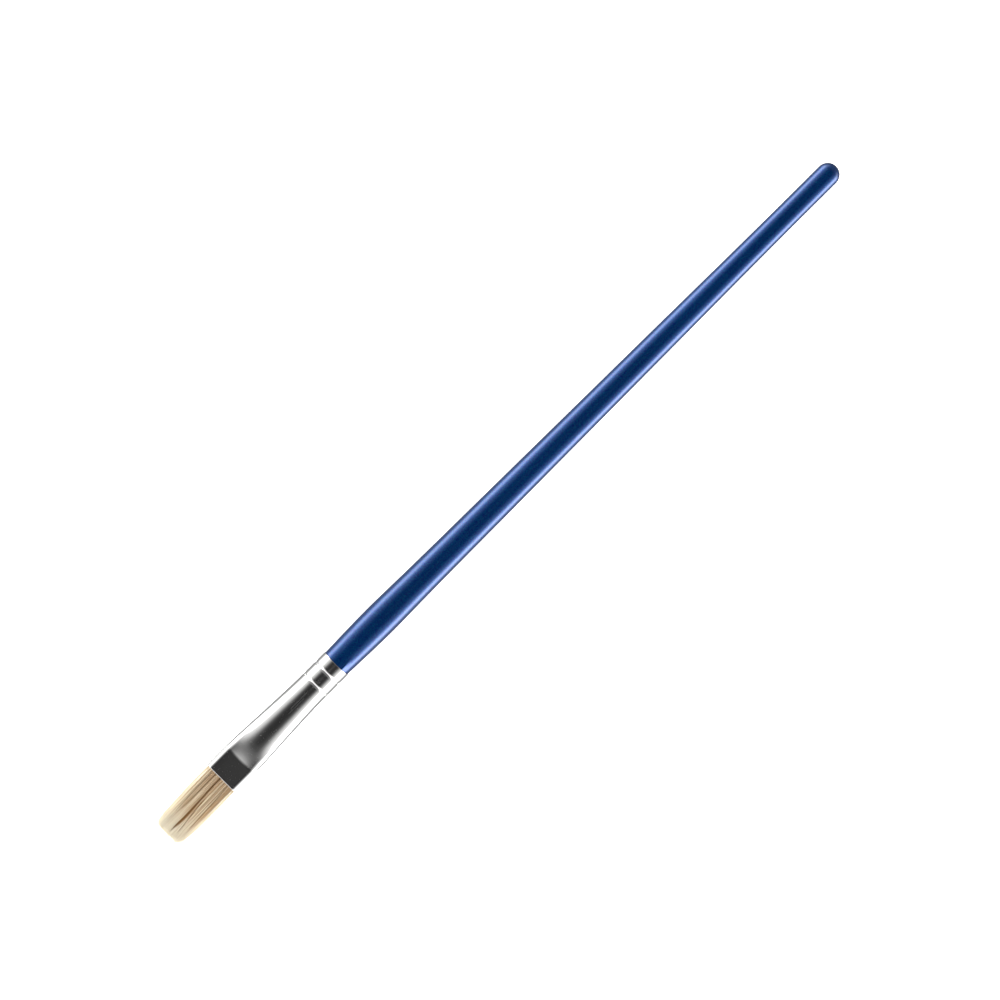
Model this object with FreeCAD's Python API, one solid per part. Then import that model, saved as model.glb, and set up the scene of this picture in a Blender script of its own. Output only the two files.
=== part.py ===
"""Long-handled flat bristle paint brush, in millimetres.

The brush lies along X with its bristles towards -X and the flat of the ferrule facing up.
Everything is drawn on the X axis with X = 0 at the ferrule's mouth, and is moved into the part's own frame
at the end: origin under the middle of the brush, on the surface it lies on, Z up.

The pieces, from the tip to the end of the handle:
  bristle_lock_1..4  the free length of the hog bristles, parted into four locks; they flex as one
  bristle_roots      the gripped length of the same bristles, inside the ferrule
  resin_plug         the cured resin cup that pots the roots
  ferrule            seamless metal tube, pressed flat at its mouth, with two crimped rings at its rear
  handle_glue        film of adhesive between the tenon and the ferrule
  handle_core        turned wooden handle with its tenon
  handle_lacquer     coloured lacquer coat over all of the handle that shows
"""
import FreeCAD
import Part
import math
import os

Vec = FreeCAD.Vector
X_AXIS = Vec(1, 0, 0)
CENTRE = Vec(0, 0, 0)

# --- driving sizes ---------------------------------------------------------------------------------
overall_length = 300.0

# free bristles
hair_length_out = 24.9            # from the ferrule's mouth to the tip
hair_side_clearance = 0.1         # round the roots in the mouth, so that they can flex
hair_swell = 0.15                 # how much thicker each way the tuft gets before it thins out
tip_half_thickness = 0.9
tip_narrowing = 0.55              # how much narrower each side is at the tip than in the mouth
tip_corner_radius = 1.6
tip_crown = 0.9                   # how far the middle of the tip stands past its corners
partings = ((3.3, 0.9), (0.4, -0.5), (-2.6, -2.9))    # across the width, at the mouth and at the tip
parting_gap_at_mouth = 0.05
parting_gap_at_tip = 0.5
flex_pivot_out = 0.9              # the flex axis lies this far outside the mouth

# ferrule
ferrule_length = 51.6
mouth_width = 12.6
mouth_thickness = 4.2
ferrule_wall = 0.32
ferrule_draw = 1.091              # girth of the round tube over the girth of the mouth
flat_length = 8.0                 # the part pressed parallel
shoulder_length = 3.6             # where the flat faces rise steeply into a blunt oval
easing_length = 8.0               # where the blunt oval eases into an even one
round_length = 11.2               # the part left round, at the rear
flat_corner_angle = 88.0          # degrees of side arc, each way, in the flat section
blunt_corner_angle = 65.0         # the same at the end of the shoulder
round_corner_angle = 45.0         # the same where the tube is round
flare_power = 1.25                # how the width falls off from the shoulder to the round part
ring_places = (0.375, 0.84)       # crimped rings, as parts of the round length from the rear rim
ring_depth = 0.3
ring_bottom_radius = 0.4
ring_shoulder_radius = 0.5

# what is inside the ferrule
root_gap = 0.15                   # between the flexing bristles and the gripped ones
root_length = 12.0
root_neck_length = 4.0            # the end of the roots that sits in the resin cup
resin_cup_wall = 0.6
resin_length = 8.0
tenon_nose_length = 8.8           # the tapered lead on the tenon, in front of its glued length
tenon_nose_slimming = 0.6
tenon_chamfer = 0.5
glue_film = 0.1

# handle
handle_shape = (                  # places along the shown handle, and the radius there over the neck's
    (0.083, 1.094),
    (0.146, 1.054),
    (0.273, 0.990),
    (0.464, 0.918),
    (0.677, 0.841),
)
neck_slope = 0.032
end_radius = 3.8
end_straight = 12.5               # straight cylinder before the rounded end
lacquer_coat = 0.2
lacquer_coat_at_end = 0.28        # it gathers where the handle hangs to drip dry

# --- worked-out sizes ------------------------------------------------------------------------------
mouth_half_width = mouth_width / 2
mouth_half_thickness = mouth_thickness / 2
rim_x = ferrule_length
round_x = ferrule_length - round_length
flare_x = flat_length + shoulder_length
handle_end_x = overall_length - hair_length_out
shown_length = handle_end_x - rim_x


def oval_shape(corner_angle):
    """The two weights that tie an oval's quarter girth to its half width and half thickness."""
    b = math.radians(corner_angle)
    q = ((math.pi / 2 - b) * math.sin(b) - b * math.cos(b)) / (math.sin(b) + math.cos(b) - 1)
    return b + q, math.pi / 2 - b - q


width_weight, thickness_weight = oval_shape(flat_corner_angle)
mouth_quarter_girth = width_weight * mouth_half_width + thickness_weight * mouth_half_thickness
tube_radius = mouth_quarter_girth * ferrule_draw / (math.pi / 2)
tenon_radius = tube_radius - ferrule_wall - glue_film
neck_radius = tenon_radius + lacquer_coat


# --- the ferrule's sections ------------------------------------------------------------------------
def share(x, start, length):
    """How much of the stretch that begins at start lies before x, from 0 to 1."""
    return min(max((x - start) / length, 0.0), 1.0)


def eased(part):
    return part * part * (3 - 2 * part)


def ferrule_section_sizes(x):
    """Half width, half thickness and corner angle of the ferrule's outside at x.

    The press changes the tube's shape but hardly its girth, so the thickness follows from the girth."""
    flare = share(x, flare_x, round_x - flare_x)
    half_width = tube_radius + (mouth_half_width - tube_radius) * (1 - flare) ** flare_power
    quarter_girth = mouth_quarter_girth + (tube_radius * math.pi / 2 - mouth_quarter_girth) * flare
    corner_angle = (
        flat_corner_angle
        + (blunt_corner_angle - flat_corner_angle) * eased(share(x, flat_length, shoulder_length))
        + (round_corner_angle - blunt_corner_angle) * eased(share(x, flare_x, easing_length))
    )
    by_width, by_thickness = oval_shape(corner_angle)
    return half_width, (quarter_girth - by_width * half_width) / by_thickness, corner_angle


def oval_wire(x, half_width, half_thickness, corner_angle, inset=0.0):
    """An oval across the X axis, its arcs meeting in tangent; inset shrinks it evenly all round."""
    b = math.radians(corner_angle)
    between_centres = (half_width - half_thickness) / (math.sin(b) + math.cos(b) - 1)
    side_centre = between_centres * math.cos(b)
    side_radius = half_width - side_centre - inset
    face_centre = -between_centres * math.sin(b)
    face_radius = half_thickness - face_centre - inset

    def on_side(angle):
        return side_centre + side_radius * math.cos(angle), side_radius * math.sin(angle)

    def on_face(angle):
        return face_radius * math.cos(angle), face_centre + face_radius * math.sin(angle)

    square = math.pi / 2
    side_arc = [on_side(0), on_side(b / 2), on_side(b)]
    face_arc = [on_face(b), on_face((b + square) / 2), on_face(square)]
    edges = []
    for y_sign, z_sign in ((1, 1), (-1, 1), (-1, -1), (1, -1)):
        quarter = [side_arc, face_arc]
        if y_sign != z_sign:
            quarter = [face_arc[::-1], side_arc[::-1]]
        for arc in quarter:
            points = [Vec(x, y_sign * y, z_sign * z) for y, z in arc]
            edges.append(Part.Arc(*points).toShape())
    return Part.Wire(edges)


def ferrule_wire(x, inset):
    return oval_wire(x, *ferrule_section_sizes(x), inset)


# --- the crimped, round part of the ferrule and what follows it -------------------------------------
def ring_arcs(x, radius, inset):
    """One crimped ring in a line at radius: shoulder, bottom and shoulder, in tangent, running to +X."""
    reach = ring_bottom_radius + ring_shoulder_radius
    turn = math.acos(1 - ring_depth / reach)
    half_width = reach * math.sin(turn)
    shoulder = ring_shoulder_radius - inset
    bottom = ring_bottom_radius + inset
    shoulder_y = radius - shoulder
    bottom_y = radius - ring_depth + bottom

    def on_shoulder(side, angle):
        return Vec(x + side * (half_width - shoulder * math.sin(angle)), shoulder_y + shoulder * math.cos(angle), 0)

    lowest = Vec(x, bottom_y - bottom, 0)
    return [
        Part.Arc(on_shoulder(-1, 0), on_shoulder(-1, turn / 2), on_shoulder(-1, turn)),
        Part.Arc(on_shoulder(-1, turn), lowest, on_shoulder(1, turn)),
        Part.Arc(on_shoulder(1, turn), on_shoulder(1, turn / 2), on_shoulder(1, 0)),
    ]


def crimped_line(start_x, end_x, inset):
    """The tube's crimped outline from start_x to end_x, inset into the metal, as a list of edges."""
    radius = tube_radius - inset
    edges = []
    here = Vec(start_x, radius, 0)
    for place in sorted(ring_places, reverse=True):
        arcs = ring_arcs(rim_x - place * round_length, radius, inset)
        edges.append(Part.LineSegment(here, arcs[0].StartPoint).toShape())
        edges += [arc.toShape() for arc in arcs]
        here = arcs[-1].EndPoint
    edges.append(Part.LineSegment(here, Vec(end_x, radius, 0)).toShape())
    return edges


def joined(points):
    """Straight edges through the points."""
    return [Part.LineSegment(a, b).toShape() for a, b in zip(points, points[1:])]


def turned(edges):
    """The solid of revolution of a closed outline about the X axis."""
    face = Part.Face(Part.Wire(edges))
    return face.revolve(CENTRE, X_AXIS, 360)


def crimped_solid(start_x, end_x, inset):
    radius = tube_radius - inset
    back = [Vec(end_x, radius, 0), Vec(end_x, 0, 0), Vec(start_x, 0, 0), Vec(start_x, radius, 0)]
    return turned(crimped_line(start_x, end_x, inset) + joined(back))


def pressed_solid(start_x, inset):
    """The flat, the shoulder and the flare of the ferrule as one closed body, from start_x to the round part."""
    flat_wire = ferrule_wire(flat_length, inset).translated(Vec(start_x - flat_length, 0, 0))
    body = Part.Face(flat_wire).extrude(Vec(flat_length - start_x, 0, 0))
    for begin, end, steps in ((flat_length, flare_x, 5), (flare_x, round_x, 12)):
        places = [begin + (end - begin) * n / steps for n in range(steps + 1)]
        body = body.fuse(Part.makeLoft([ferrule_wire(x, inset) for x in places], True, False))
    return body


def ferrule_inside(start_x, end_x):
    """The space inside the ferrule between two places, both in its pressed part."""
    slab = Part.makeBox(end_x - start_x, mouth_width, mouth_width, Vec(start_x, -mouth_width / 2, -mouth_width / 2))
    return pressed_solid(min(start_x, 0.0), ferrule_wall).common(slab)


def make_ferrule():
    outside = pressed_solid(0.0, 0.0).fuse(crimped_solid(round_x, rim_x, 0.0))
    past = ferrule_wall
    inside = pressed_solid(-past, ferrule_wall).fuse(crimped_solid(round_x, rim_x + past, ferrule_wall))
    return outside.cut(inside).removeSplitter()


# --- bristles and resin ------------------------------------------------------------------------------
roots_start = root_gap - flex_pivot_out + mouth_half_thickness - ferrule_wall - hair_side_clearance
roots_end = roots_start + root_length
resin_start = roots_end - root_neck_length
resin_end = resin_start + resin_length


def make_bristle_roots():
    inset = ferrule_wall + hair_side_clearance / 2
    gripped = ferrule_wire(0.0, inset)
    necked = ferrule_wire(0.0, ferrule_wall + resin_cup_wall)
    body = Part.Face(gripped.translated(Vec(roots_start, 0, 0))).extrude(Vec(resin_start - roots_start, 0, 0))
    neck = Part.Face(necked.translated(Vec(resin_start, 0, 0))).extrude(Vec(root_neck_length, 0, 0))
    return body.fuse(neck).removeSplitter()


def make_resin_plug(roots):
    return ferrule_inside(resin_start, resin_end).cut(roots)


def tuft_wire(out, narrower, half_thickness):
    """A section of the free tuft, out from the mouth; narrower is taken off each side of its width."""
    half_width = mouth_half_width - ferrule_wall - 2 * hair_side_clearance - narrower
    return oval_wire(-out, half_width, half_thickness, flat_corner_angle)


def make_tuft():
    """The whole free tuft: a lens-shaped body with a rounded root that turns about the flex axis."""
    root_half_thickness = mouth_half_thickness - ferrule_wall - hair_side_clearance
    free = hair_length_out - flex_pivot_out
    fullest = root_half_thickness + hair_swell
    thinning = fullest - tip_half_thickness
    sections = [
        tuft_wire(flex_pivot_out, 0.0, root_half_thickness),
        tuft_wire(flex_pivot_out + 0.3 * free, 0.0, fullest),
        tuft_wire(flex_pivot_out + 0.6 * free, 0.2 * tip_narrowing, fullest - 0.3 * thinning),
        tuft_wire(hair_length_out, tip_narrowing, tip_half_thickness),
    ]
    body = Part.makeLoft(sections, True, False)

    pivot = Vec(-flex_pivot_out, 0, 0)
    upper_half = sections[0].Edges[:4]
    across = Part.LineSegment(upper_half[-1].lastVertex(True).Point, upper_half[0].firstVertex(True).Point).toShape()
    knuckle = Part.Face(Part.Wire(upper_half + [across])).revolve(pivot, Vec(0, 1, 0), 180)
    return body.fuse(knuckle).common(tip_outline())


def tip_outline():
    """The tuft seen from above, as a thick slab: straight sides, a crowned tip and rounded corners."""
    half_width = mouth_half_width
    tip_half_width = mouth_half_width - ferrule_wall - 2 * hair_side_clearance - tip_narrowing
    tip_x = -hair_length_out
    corner_x = tip_x + tip_crown
    inner_y = tip_half_width - tip_corner_radius
    diagonal = tip_corner_radius * math.sqrt(0.5)
    rear_x = mouth_half_thickness

    def corner(side):
        centre = Vec(corner_x + tip_corner_radius, side * inner_y, 0)
        front = centre - Vec(tip_corner_radius, 0, 0)
        middle = centre + Vec(-diagonal, side * diagonal, 0)
        outer = centre + Vec(0, side * tip_corner_radius, 0)
        return front, middle, outer

    left_front, left_middle, left_outer = corner(-1)
    right_front, right_middle, right_outer = corner(1)
    widening_x = corner_x + tip_corner_radius
    edges = [
        Part.Arc(left_front, Vec(tip_x, 0, 0), right_front).toShape(),
        Part.Arc(right_front, right_middle, right_outer).toShape(),
        Part.Arc(left_outer, left_middle, left_front).toShape(),
    ]
    edges += joined(
        [
            right_outer,
            Vec(widening_x + half_width - tip_half_width, half_width, 0),
            Vec(rear_x, half_width, 0),
            Vec(rear_x, -half_width, 0),
            Vec(widening_x + half_width - tip_half_width, -half_width, 0),
            left_outer,
        ]
    )
    outline = Part.Wire(Part.__sortEdges__(edges)).translated(Vec(0, 0, -mouth_thickness))
    return Part.Face(outline).extrude(Vec(0, 0, 2 * mouth_thickness))


def make_bristle_locks():
    """The tuft cut along its partings, each a gap that widens from the mouth to the tip."""
    tuft = make_tuft()
    sides = sorted(partings, reverse=True)
    upper = [(mouth_width, mouth_width)] + sides
    lower = sides + [(-mouth_width, -mouth_width)]
    rear_x = mouth_half_thickness
    tip_x = -hair_length_out
    at_mouth = parting_gap_at_mouth / 2
    at_tip = parting_gap_at_tip / 2
    locks = []
    for (mouth_top, tip_top), (mouth_bottom, tip_bottom) in zip(upper, lower):
        corners = [
            Vec(rear_x, mouth_top - at_mouth, -mouth_thickness),
            Vec(0, mouth_top - at_mouth, -mouth_thickness),
            Vec(tip_x, tip_top - at_tip, -mouth_thickness),
            Vec(tip_x, tip_bottom + at_tip, -mouth_thickness),
            Vec(0, mouth_bottom + at_mouth, -mouth_thickness),
            Vec(rear_x, mouth_bottom + at_mouth, -mouth_thickness),
        ]
        outline = Part.makePolygon(corners + corners[:1])
        locks.append(tuft.common(Part.Face(outline).extrude(Vec(0, 0, 2 * mouth_thickness))))
    return locks


# --- handle ------------------------------------------------------------------------------------------
def handle_outline(coat, end_coat):
    """The turned outline from the ferrule's rim to the end of the handle, the coats inside the lacquer."""
    round_end_x = handle_end_x - end_radius
    straight_x = round_end_x - end_straight
    places = [Vec(rim_x, neck_radius - coat, 0)]
    places += [Vec(rim_x + part * shown_length, ratio * neck_radius - coat, 0) for part, ratio in handle_shape]
    places.append(Vec(straight_x, end_radius - coat, 0))
    curve = Part.BSplineCurve()
    curve.interpolate(Points=places, InitialTangent=Vec(1, neck_slope, 0), FinalTangent=X_AXIS)
    radius = end_radius - end_coat
    diagonal = radius * math.sqrt(0.5)
    top = Vec(round_end_x, radius, 0)
    middle = Vec(round_end_x + diagonal, diagonal, 0)
    tip = Vec(round_end_x + radius, 0, 0)
    return [curve.toShape(), Part.LineSegment(places[-1], top).toShape(), Part.Arc(top, middle, tip).toShape()]


def make_handle_core():
    nose_x = round_x - tenon_nose_length
    nose_radius = tenon_radius - tenon_nose_slimming
    nose = [
        Vec(nose_x, 0, 0),
        Vec(nose_x, nose_radius - tenon_chamfer, 0),
        Vec(nose_x + tenon_chamfer, nose_radius, 0),
        Vec(round_x, tenon_radius, 0),
    ]
    inset = ferrule_wall + glue_film
    shown = handle_outline(lacquer_coat, lacquer_coat_at_end)
    axis = joined([Vec(handle_end_x - lacquer_coat_at_end, 0, 0), Vec(nose_x, 0, 0)])
    return turned(joined(nose) + crimped_line(round_x, rim_x, inset) + shown + axis)


def make_handle_lacquer():
    front = joined([Vec(rim_x, neck_radius - lacquer_coat, 0), Vec(rim_x, neck_radius, 0)])
    back = joined([Vec(handle_end_x, 0, 0), Vec(handle_end_x - lacquer_coat_at_end, 0, 0)])
    wood = handle_outline(lacquer_coat, lacquer_coat_at_end)
    return turned(Part.__sortEdges__(front + handle_outline(0.0, 0.0) + back + wood))


def make_handle_glue():
    outer = tube_radius - ferrule_wall
    ends = joined([Vec(round_x, tenon_radius, 0), Vec(round_x, outer, 0)])
    ends += joined([Vec(rim_x, tenon_radius, 0), Vec(rim_x, outer, 0)])
    inner_line = crimped_line(round_x, rim_x, ferrule_wall + glue_film)
    outer_line = crimped_line(round_x, rim_x, ferrule_wall)
    return turned(Part.__sortEdges__(ends + inner_line + outer_line))


# --- into the part's own frame and out to files --------------------------------------------------------
def main():
    roots = make_bristle_roots()
    pieces = {
        "handle_core": make_handle_core(),
        "handle_lacquer": make_handle_lacquer(),
        "handle_glue": make_handle_glue(),
        "ferrule": make_ferrule(),
        "resin_plug": make_resin_plug(roots),
        "bristle_roots": roots,
    }
    for number, lock in enumerate(make_bristle_locks(), start=1):
        pieces[f"bristle_lock_{number}"] = lock

    middle_x = (handle_end_x - hair_length_out) / 2
    lying_height = max(pieces["handle_lacquer"].BoundBox.ZMax, tube_radius)
    os.makedirs("parts", exist_ok=True)
    for name, shape in pieces.items():
        shape.translate(Vec(-middle_x, 0, lying_height))
        solids = shape.Solids
        print(name, "solids", len(solids), "valid", shape.isValid(), "mm3", round(shape.Volume, 2))
        shape = solids[0] if len(solids) == 1 else Part.makeCompound(solids)
        shape.exportStep(f"parts/{name}.step")
    print("mouth x", round(-middle_x, 3), "rim x", round(rim_x - middle_x, 3), "axis height", round(lying_height, 3))
    print("flex pivot x", round(-middle_x - flex_pivot_out, 3), "tube radius", round(tube_radius, 3))
    straight_middle_x = handle_end_x - end_radius - end_straight / 2 - middle_x
    print("neck", round(neck_radius, 3), "middle of the straight end", round(straight_middle_x, 3))


main()
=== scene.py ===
# %% [markdown]
# # A long-handled flat bristle brush
#
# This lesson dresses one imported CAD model, a painter's flat brush, for its portrait. The brush has three
# things to look at: a turned wooden handle under dark blue lacquer, a bright metal ferrule that was
# pressed flat at its mouth, and a flat tuft of hog bristles. The CAD model gives every size. Blender adds
# what a CAD solid cannot carry: real gloss, small marks of making and of use, and the bristles one by
# one.

# %% Load the brush
import math
import bpy
import numpy as np
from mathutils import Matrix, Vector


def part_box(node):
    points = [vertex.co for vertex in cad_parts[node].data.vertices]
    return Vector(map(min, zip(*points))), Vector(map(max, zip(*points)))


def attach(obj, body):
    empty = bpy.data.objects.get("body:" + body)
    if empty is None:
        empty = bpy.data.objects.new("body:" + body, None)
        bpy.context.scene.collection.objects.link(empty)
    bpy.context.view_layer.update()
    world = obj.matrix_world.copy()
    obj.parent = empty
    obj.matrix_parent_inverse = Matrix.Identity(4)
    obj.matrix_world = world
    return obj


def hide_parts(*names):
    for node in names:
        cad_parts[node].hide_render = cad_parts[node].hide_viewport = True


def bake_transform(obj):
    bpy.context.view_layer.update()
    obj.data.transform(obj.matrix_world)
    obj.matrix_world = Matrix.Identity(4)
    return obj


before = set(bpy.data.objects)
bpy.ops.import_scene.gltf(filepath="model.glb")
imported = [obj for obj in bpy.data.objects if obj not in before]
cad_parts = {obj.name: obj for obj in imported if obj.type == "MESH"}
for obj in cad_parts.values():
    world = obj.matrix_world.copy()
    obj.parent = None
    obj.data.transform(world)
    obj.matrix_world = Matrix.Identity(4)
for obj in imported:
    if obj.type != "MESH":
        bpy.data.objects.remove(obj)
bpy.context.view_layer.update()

# %% [markdown]
# ## Where things are
#
# The brush lies along X, bristles towards -X, with the flat of the ferrule facing up. The CAD boxes say
# where the ferrule begins and ends, and how high the middle of the brush lies. Everything below is
# written in millimetres from the ferrule's mouth, because that is how a brush maker would measure it, and
# one helper turns such a place into metres in the model's own frame.

# %% Measure the CAD model
MM = 0.001
ferrule_low, ferrule_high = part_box("ferrule")
lacquer_low, lacquer_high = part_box("handle_lacquer")
lock_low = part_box("bristle_lock_2")[0]
glue_low, glue_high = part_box("handle_glue")

mouth_x = ferrule_low[0] / MM
ferrule_length = (ferrule_high[0] - ferrule_low[0]) / MM
handle_length = (lacquer_high[0] - lacquer_low[0]) / MM
hair_length = (ferrule_low[0] - lock_low[0]) / MM
axis_height = (lacquer_high[2] + lacquer_low[2]) / 2 / MM
ferrule_wall = 0.32
tube_radius = (glue_high[2] - glue_low[2]) / 2 / MM + ferrule_wall
print("ferrule", round(ferrule_length, 2), "handle", round(handle_length, 2), "hair", round(hair_length, 2))
print("tube radius", round(tube_radius, 3), "axis height", round(axis_height, 3))


def in_frame(points):
    """Points in mm from the middle of the ferrule's mouth, as metres in the model's frame."""
    points = np.asarray(points, float)
    return (points + [mouth_x, 0.0, axis_height]) * MM


# %% [markdown]
# ## The camera
#
# The portrait looks straight down on the brush from about 80 cm, with a long lens, so the brush keeps its
# proportions. The camera is turned about its own line of sight until the brush runs from corner to
# corner, bristles at the lower left.

# %% Camera
camera_data = bpy.data.cameras.new("portrait camera")
camera_data.lens = 90.0
camera_data.sensor_width = 36.0
camera = bpy.data.objects.new("portrait camera", camera_data)
bpy.context.collection.objects.link(camera)
camera.location = (-0.00024, 0.000125, axis_height * MM + 0.7932)
camera.rotation_euler = (0.0, 0.0, math.radians(-44.845))
bpy.context.scene.camera = camera
print("camera", round(camera.location.z - axis_height * MM, 3), "m above the middle of the brush")

# %% [markdown]
# ## Small helpers for meshes
#
# The handle, the ferrule and each bristle are all tubes: rings of points, one after another along a line,
# joined by quads. One helper makes the quads of any such tube from how many rings it has and how many
# points each ring has, so the shape of the ring and the path are free. Where a tube needs closed ends, they
# are added where it is built.

# %% Tube helper
def tube_faces(rings, around, first=0):
    """Quads between neighbouring rings that have the same number of points."""
    ring = np.arange(rings - 1)[:, None] * around
    step = np.arange(around)[None, :]
    ahead = (step + 1) % around
    quads = np.stack([ring + step, ring + ahead, ring + around + ahead, ring + around + step], -1)
    return (quads.reshape(-1, 4) + first).tolist()


def new_piece(name, points, faces, smooth=True):
    """A mesh object from points in metres and faces as lists of point numbers."""
    mesh = bpy.data.meshes.new(name)
    mesh.from_pydata(np.asarray(points).tolist(), [], faces)
    mesh.polygons.foreach_set("use_smooth", [smooth] * len(mesh.polygons))
    mesh.update()
    piece = bpy.data.objects.new(name, mesh)
    bpy.context.collection.objects.link(piece)
    print(name, len(mesh.vertices), "points", len(mesh.polygons), "faces")
    return piece


# %% [markdown]
# ## Helpers for materials
#
# Every finish here is made of nodes. The helper class keeps a material's nodes in reach and joins a
# socket to a value or to another socket, so that each recipe below reads as a list of what the finish is
# made of.

# %% Material helper
class Finish:
    """One material, with short calls for the nodes that its recipe needs."""

    def __init__(self, name):
        self.material = bpy.data.materials.new(name)
        self.material.use_nodes = True
        self.nodes = self.material.node_tree.nodes
        self.links = self.material.node_tree.links
        self.surface = self.nodes["Principled BSDF"]
        self.place = self.nodes.new("ShaderNodeTexCoord").outputs["Object"]

    def node(self, kind, inputs=None, **settings):
        made = self.nodes.new(kind)
        for key, value in settings.items():
            setattr(made, key, value)
        for key, value in (inputs or {}).items():
            self.set(made.inputs[key], value)
        return made

    def set(self, socket, value):
        if isinstance(value, bpy.types.NodeSocket):
            self.links.new(value, socket)
        else:
            socket.default_value = value

    def noise(self, scale, stretch=(1, 1, 1), detail=2.0, roughness=0.5):
        """Noise in object space; stretch multiplies the place first, so a small number draws it out."""
        moved = self.node("ShaderNodeVectorMath", {0: self.place, 1: stretch}, operation="MULTIPLY")
        texture = self.node(
            "ShaderNodeTexNoise",
            {"Vector": moved.outputs[0], "Scale": scale, "Detail": detail, "Roughness": roughness},
        )
        return texture.outputs["Fac"]

    def remap(self, value, low, high, to_low, to_high):
        """Stretch the range low to high over the range to_low to to_high."""
        made = self.node("ShaderNodeMapRange", {0: value, 1: low, 2: high, 3: to_low, 4: to_high})
        return made.outputs[0]

    def math(self, operation, first, second=0.0):
        return self.node("ShaderNodeMath", {0: first, 1: second}, operation=operation).outputs[0]

    def mix(self, share, first, second):
        made = self.node("ShaderNodeMix", data_type="RGBA")
        self.set(made.inputs[0], share)
        self.set(made.inputs[6], first)
        self.set(made.inputs[7], second)
        return made.outputs[2]

    def bump(self, height, distance, strength=1.0, under=None):
        made = self.node("ShaderNodeBump", {"Height": height, "Distance": distance, "Strength": strength})
        if under is not None:
            self.set(made.inputs["Normal"], under)
        return made.outputs["Normal"]

    def use(self, **sockets):
        """Join the finished recipe to the surface shader and give back the material."""
        names = {"base": "Base Color", "metal": "Metallic", "rough": "Roughness", "normal": "Normal"}
        names.update({"coat": "Coat Weight", "coat_rough": "Coat Roughness", "coat_normal": "Coat Normal"})
        names.update({"sheen": "Sheen Weight", "specular": "Specular IOR Level"})
        for key, value in sockets.items():
            self.set(self.surface.inputs[names[key]], value)
        print(self.material.name, "is made of", len(self.nodes), "nodes")
        return self.material


def dress(piece, material):
    piece.data.materials.clear()
    piece.data.materials.append(material)


# %% [markdown]
# ## The turned handle
#
# A brush handle is turned on a lathe: it swells just behind the ferrule, where the fingers sit, thins
# slowly towards the back, and ends in a straight stretch with a round end. The CAD model's mesh is true
# to size, but its flat facets would show in a glossy finish. So the same outline is turned again here,
# with a smooth cubic curve through the same few radii, and many more rings. Each radius in the list is a
# part of the neck's, and each place is a part of the handle's length.

# %% The handle's outline
neck_step = 0.22
neck_radius = tube_radius - neck_step
end_radius = 3.8
end_straight = 12.5
neck_slope = 0.032
handle_shape = ((0.083, 1.094), (0.146, 1.054), (0.273, 0.990), (0.464, 0.918), (0.677, 0.841))


def smooth_curve(x, y, first_slope, last_slope):
    """Slopes at each point of the cubic curve through them that bends evenly."""
    gap = np.diff(x)
    rise = np.diff(y) / gap
    size = len(x)
    rows = np.eye(size)
    wanted = np.zeros(size)
    wanted[0], wanted[-1] = first_slope, last_slope
    for k in range(1, size - 1):
        rows[k, k - 1 : k + 2] = gap[k], 2 * (gap[k - 1] + gap[k]), gap[k - 1]
        wanted[k] = 3 * (gap[k] * rise[k - 1] + gap[k - 1] * rise[k])
    return np.linalg.solve(rows, wanted)


round_start = handle_length - end_radius
shape_x = [0.0] + [part * handle_length for part, ratio in handle_shape] + [round_start - end_straight]
shape_r = [neck_radius] + [ratio * neck_radius for part, ratio in handle_shape] + [end_radius]
shape_x, shape_r = np.array(shape_x), np.array(shape_r)
shape_slope = smooth_curve(shape_x, shape_r, neck_slope, 0.0)


def curve_at(x, places, values, slopes):
    """The height at x of the cubic curve through the values at the places; flat beyond both ends."""
    x = np.clip(np.asarray(x, float), places[0], places[-1])
    k = np.clip(np.searchsorted(places, x, side="right") - 1, 0, len(places) - 2)
    gap = places[k + 1] - places[k]
    t = (x - places[k]) / gap
    return (
        (2 * t**3 - 3 * t**2 + 1) * values[k]
        + (t**3 - 2 * t**2 + t) * gap * slopes[k]
        + (3 * t**2 - 2 * t**3) * values[k + 1]
        + (t**3 - t**2) * gap * slopes[k + 1]
    )


def handle_radius(x):
    """Radius over the lacquer, x mm behind the ferrule's rim."""
    x = np.asarray(x, float)
    radius = curve_at(x, shape_x, shape_r, shape_slope)
    past = np.clip(x - round_start, 0.0, end_radius)
    return np.where(x > round_start, np.sqrt(end_radius**2 - past**2), radius)


print("belly radius", round(float(handle_radius(np.arange(0, 60, 0.5)).max()), 3))

# %% [markdown]
# ## The lacquer coat
#
# The coat stops in a thick soft edge against the ferrule, and near that edge this brush has two short
# folds, where the metal's rim dragged the wet lacquer. It also has three small dents from use. They are
# pressed into the mesh, because a mark in a glossy surface shows by how it bends the reflections: a fold
# draws a thin dark line. The rings stand close together near the rim for this, and further apart along
# the plain length.

# %% Turn the lacquer
around = 200
rim_rings = np.concatenate([[0.0, 0.03, 0.07], np.arange(0.12, 7.0, 0.09)])
plain_rings = np.arange(7.0, round_start, 0.55)
end_angles = np.linspace(0.0, math.pi / 2, 26)[:-1]
round_rings = round_start + end_radius * np.sin(end_angles)
ring_x = np.concatenate([rim_rings, plain_rings, round_rings])
angle = np.linspace(0, 2 * math.pi, around, endpoint=False)

ring_radius = handle_radius(ring_x)
ring_radius[:3] -= np.array([0.06, 0.025, 0.006])
grid_x = np.repeat(ring_x[:, None], around, 1)
grid_r = np.repeat(ring_radius[:, None], around, 1)


quarter_turn = math.pi / 2
from_top = ((angle[None, :] - quarter_turn + math.pi) % (2 * math.pi) - math.pi) * grid_r


def dent(x, side, length, width, depth, slant):
    """How much a long narrow dent lowers the surface; side is its distance from the top line, in mm."""
    across = -from_top - side - slant * (grid_x - x)
    along = grid_x - x
    return depth * np.exp(-((across / width) ** 2)) * np.exp(-((along / length) ** 2))


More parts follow.
